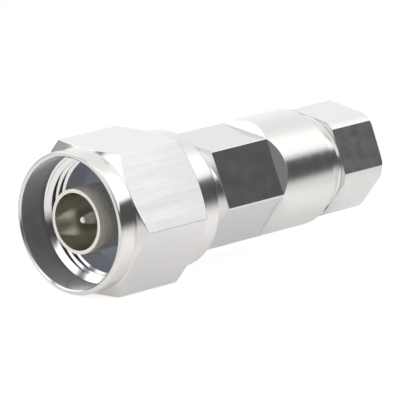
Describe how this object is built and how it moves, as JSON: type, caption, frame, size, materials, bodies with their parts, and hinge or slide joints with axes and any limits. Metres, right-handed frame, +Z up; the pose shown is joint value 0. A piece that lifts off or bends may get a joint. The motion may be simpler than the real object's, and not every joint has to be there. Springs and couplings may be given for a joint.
{
  "type": "coaxial cable plug with hexagonal coupling nut",
  "caption": "Straight coaxial cable plug: a hexagonal coupling nut that turns freely, a thin contact tube round a centre pin, a hexagonal body and a rear clamp nut.",
  "frame": {"origin": "on the plug's axis, in the plane of the outer contact's tip, which is the mating reference plane", "axes": "+X along the axis from the mating mouth to the cable end, +Z up with the part lying on a flat of its coupling nut"},
  "size_m": [0.0502, 0.0208, 0.018],
  "materials": {
    "nut_plating": "satin nickel plate on turned brass",
    "body_plating": "bright nickel plate on turned brass",
    "clamp_plating": "bright nickel plate on turned brass",
    "contact_plating": "bright plate on turned brass",
    "pin_plating": "polished silver plate on brass",
    "spring_steel": "hardened spring steel",
    "insulator_resin": "turned fluoropolymer, waxy white",
    "seal_rubber": "moulded black rubber",
    "gasket_rubber": "moulded blue-grey silicone rubber"
  },
  "bodies": {
    "plug": {"plug_body": "body_plating", "outer_contact": "contact_plating", "centre_pin": "pin_plating", "front_insulator": "insulator_resin", "spacer_sleeve": "contact_plating", "rear_insulator": "insulator_resin", "braid_clamp": "body_plating", "cable_seal": "seal_rubber", "interface_gasket": "gasket_rubber", "nut_snap_ring": "spring_steel"},
    "coupling": {"coupling_nut": "nut_plating"},
    "clamp_slide": {"slip_washer": "body_plating"},
    "clamp": {"clamp_nut": "clamp_plating"}
  },
  "joints": [
    {"name": "coupling_spin", "type": "hinge", "parent": "plug", "child": "coupling", "pos_m": [0.0075, 0, 0], "axis": [1, 0, 0], "continuous": true},
    {"name": "clamp_travel", "type": "slide", "parent": "plug", "child": "clamp_slide", "axis": [1, 0, 0], "range_m": [0, 0.0038]},
    {"name": "clamp_unscrew", "type": "hinge", "parent": "clamp_slide", "child": "clamp", "pos_m": [0.041, 0, 0], "axis": [1, 0, 0], "range_deg": [0, 1800]}
  ],
  "couplings": [
    {"joint": "clamp_travel", "follows": "clamp_unscrew", "m_per_rad": 0.00011937}
  ]
}
